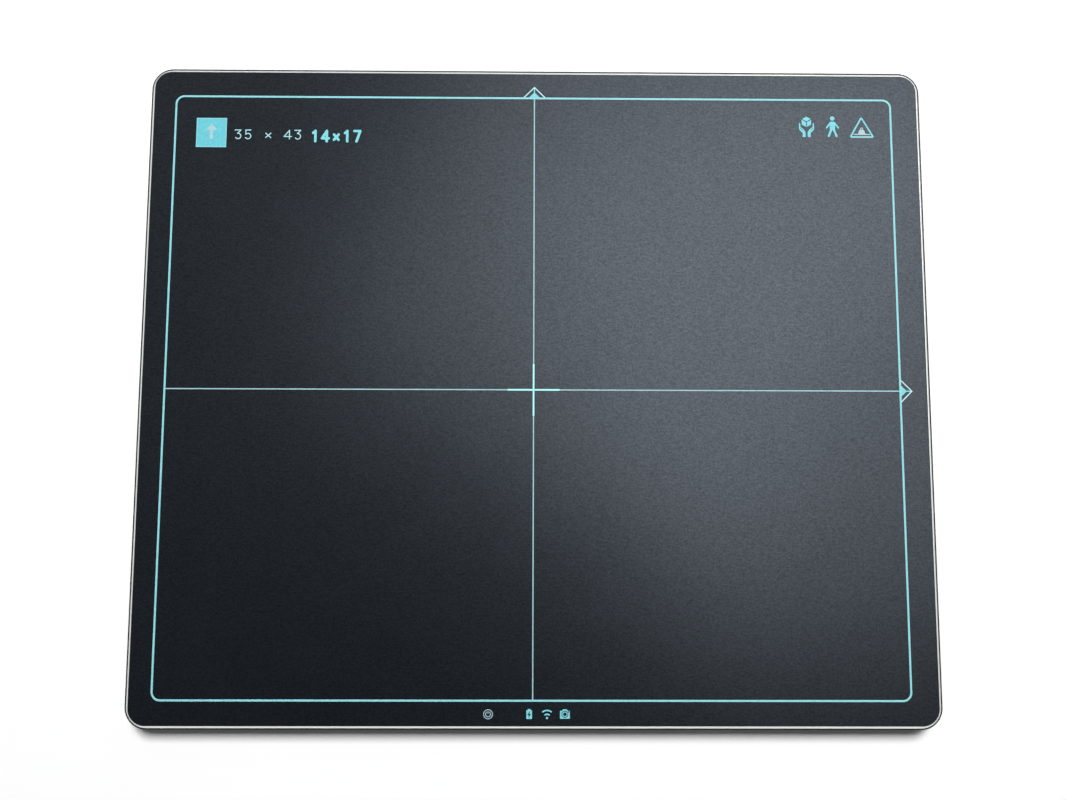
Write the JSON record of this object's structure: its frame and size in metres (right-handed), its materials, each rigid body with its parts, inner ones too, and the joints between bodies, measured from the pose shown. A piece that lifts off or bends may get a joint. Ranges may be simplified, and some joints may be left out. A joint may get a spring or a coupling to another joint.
{
  "type": "flat panel x-ray detector",
  "caption": "Wireless flat panel X-ray detector, cassette format: dark carbon front in a bright chamfered frame, removable battery with latches, finger cups and side button",
  "frame": {"origin": "under the centre of the housing, on the surface that the detector lies on", "axes": "+X along the long side to the right seen from the front, +Y along the short side away from the button side, +Z out of the front face"},
  "size_m": [0.46, 0.384, 0.0151],
  "materials": {
    "frame_coat": "satin",
    "cover_coat": "satin",
    "bezel_aluminium": "satin",
    "carbon_face": "fine matte",
    "cyan_print": "matte",
    "pale_print": "matte",
    "seal_tape": "matte",
    "foam": "matte",
    "scintillator_sheet": "matte",
    "sensor_glass": "gloss",
    "shield_sheet": "dull",
    "support_aluminium": "satin",
    "screw_steel": "satin",
    "circuit_board": "semi gloss",
    "chip_body": "matte",
    "can_steel": "satin",
    "flex_film": "gloss",
    "cable_film": "matte",
    "black_plastic": "fine matte",
    "battery_plastic": "fine matte",
    "latch_plastic": "fine matte",
    "button_metal": "satin",
    "lens_plastic": "gloss",
    "pad_rubber": "matte",
    "contact_metal": "gloss",
    "magnet_nickel": "gloss",
    "cell_foil": "satin",
    "label_film": "matte"
  },
  "bodies": {
    "detector": {"active_area_border": "cyan_print", "antenna_windows": "black_plastic", "antennas": "contact_metal", "backscatter_shield": "shield_sheet", "battery_connector": "black_plastic", "battery_spring_pins": "contact_metal", "battery_tray": "black_plastic", "bezel_seal": "seal_tape", "board_cables": "cable_film", "board_chips": "chip_body", "board_screws": "screw_steel", "board_standoffs": "support_aluminium", "button_board": "circuit_board", "button_seal": "seal_tape", "centre_arrows": "cyan_print", "centre_lines": "pale_print", "finger_cups": "black_plastic", "foam_pad": "foam", "front_bezel": "bezel_aluminium", "front_plate": "carbon_face", "gate_board": "circuit_board", "gate_flexes": "flex_film", "handling_symbols": "cyan_print", "label_plate": "label_film", "latch_guides": "black_plastic", "latch_spring_left": "screw_steel", "latch_spring_right": "screw_steel", "main_board": "circuit_board", "pointer_arrow": "pale_print", "pointer_tile": "cyan_print", "port_contacts": "contact_metal", "port_insert": "black_plastic", "port_magnets": "magnet_nickel", "readout_board": "circuit_board", "readout_flexes": "flex_film", "rear_cover": "cover_coat", "rear_gasket": "seal_tape", "rear_pads": "pad_rubber", "rear_screws": "screw_steel", "scintillator": "scintillator_sheet", "sensor_glass": "sensor_glass", "shield_cans": "can_steel", "side_frame": "frame_coat", "size_figures": "cyan_print", "status_leds": "lens_plastic", "status_lenses": "lens_plastic", "status_symbols": "cyan_print", "support_plate": "support_aluminium", "support_screws": "screw_steel", "switch_body": "chip_body", "wireless_module": "can_steel"},
    "battery": {"battery_board": "circuit_board", "battery_case": "battery_plastic", "battery_cells": "cell_foil", "battery_lid": "battery_plastic", "battery_pads": "contact_metal"},
    "button": {"power_button": "button_metal", "switch_plunger": "black_plastic"},
    "latch_left_slider": {"latch_left": "latch_plastic"},
    "latch_right_slider": {"latch_right": "latch_plastic"}
  },
  "joints": [
    {"name": "battery_lift", "type": "slide", "parent": "detector", "child": "battery", "axis": [0, 0, -1], "range_m": [0, 0.012]},
    {"name": "button_press", "type": "slide", "parent": "detector", "child": "button", "axis": [0, 1, 0], "range_m": [0, 0.0004], "stiffness_N_per_m": 5000},
    {"name": "latch_left_slide", "type": "slide", "parent": "detector", "child": "latch_left_slider", "axis": [-1, 0, 0], "range_m": [0, 0.004], "stiffness_N_per_m": 1000, "springref_m": -0.008, "deforming": ["latch_spring_left"]},
    {"name": "latch_right_slide", "type": "slide", "parent": "detector", "child": "latch_right_slider", "axis": [1, 0, 0], "range_m": [0, 0.004], "stiffness_N_per_m": 1000, "springref_m": -0.008, "deforming": ["latch_spring_right"]}
  ],
  "couplings": [
    {"joint": "latch_left_slide", "follows": "battery_lift", "ratio": 0.3333},
    {"joint": "latch_right_slide", "follows": "battery_lift", "ratio": 0.3333}
  ]
}
